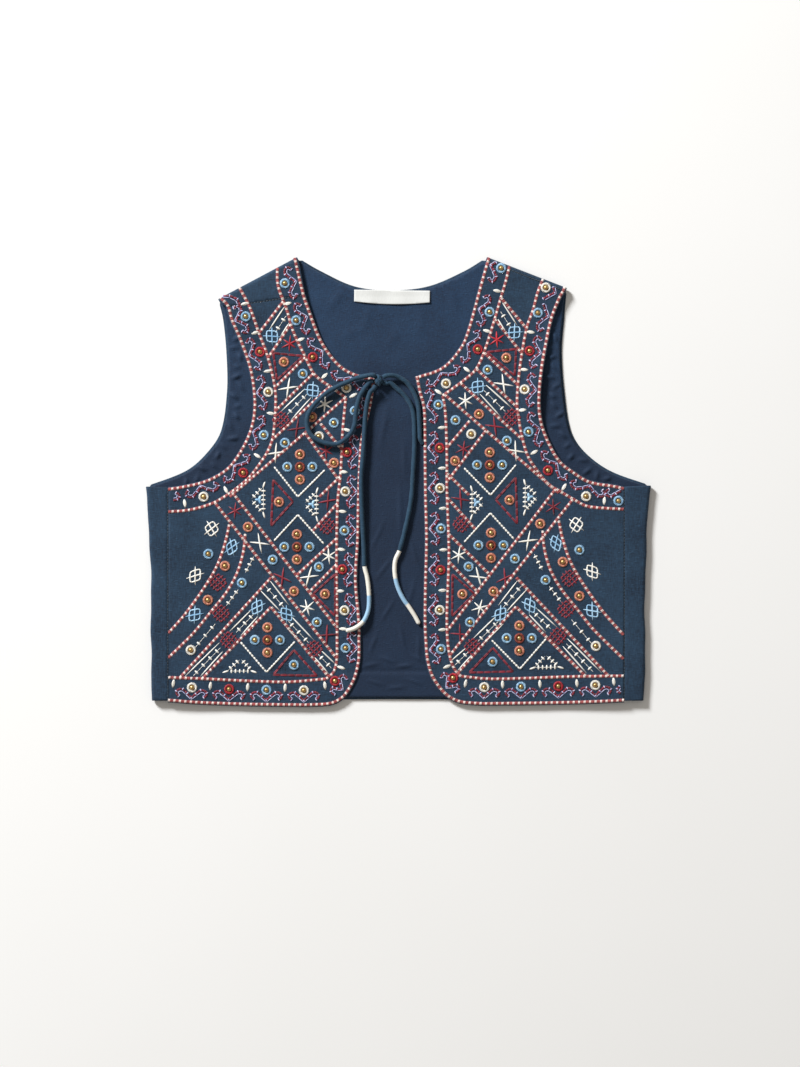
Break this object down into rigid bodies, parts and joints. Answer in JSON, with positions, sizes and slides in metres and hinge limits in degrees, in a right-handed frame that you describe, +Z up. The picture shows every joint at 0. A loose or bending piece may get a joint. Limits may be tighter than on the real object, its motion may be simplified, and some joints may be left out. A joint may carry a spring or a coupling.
{
  "type": "embroidered vest",
  "caption": "Cropped sleeveless vest laid flat on its back: dark blue cloth, fronts embroidered all over with threads, rings and beads, a curved neck, and a cord tie in a half bow.",
  "frame": {"origin": "centre of the garment's footprint on the surface that it lies on", "axes": "+X across the chest towards the wearer's left, +Y from the hem to the shoulders, +Z up from the surface, through the back and then the fronts"},
  "size_m": [0.4907, 0.4367, 0.0143],
  "materials": {
    "outer_cloth": "slubby plain weave, matt",
    "lining_cloth": "smooth plain weave",
    "label_cloth": "woven ribbon, bare",
    "cord_cloth": "rolled cloth tube",
    "tip_thread": "wrapped embroidery thread"
  },
  "bodies": {
    "root": {"back_panel": "outer_cloth", "back_lining": "lining_cloth", "right_front": "outer_cloth", "left_front": "outer_cloth", "neck_label": "label_cloth", "tie_knot": "cord_cloth", "tie_loop": "cord_cloth", "tie_strand_left": "cord_cloth", "tie_tail_right": "cord_cloth", "tie_tail_left": "cord_cloth", "tie_tip_right": "tip_thread", "tie_tip_left": "tip_thread"}
  },
  "joints": []
}
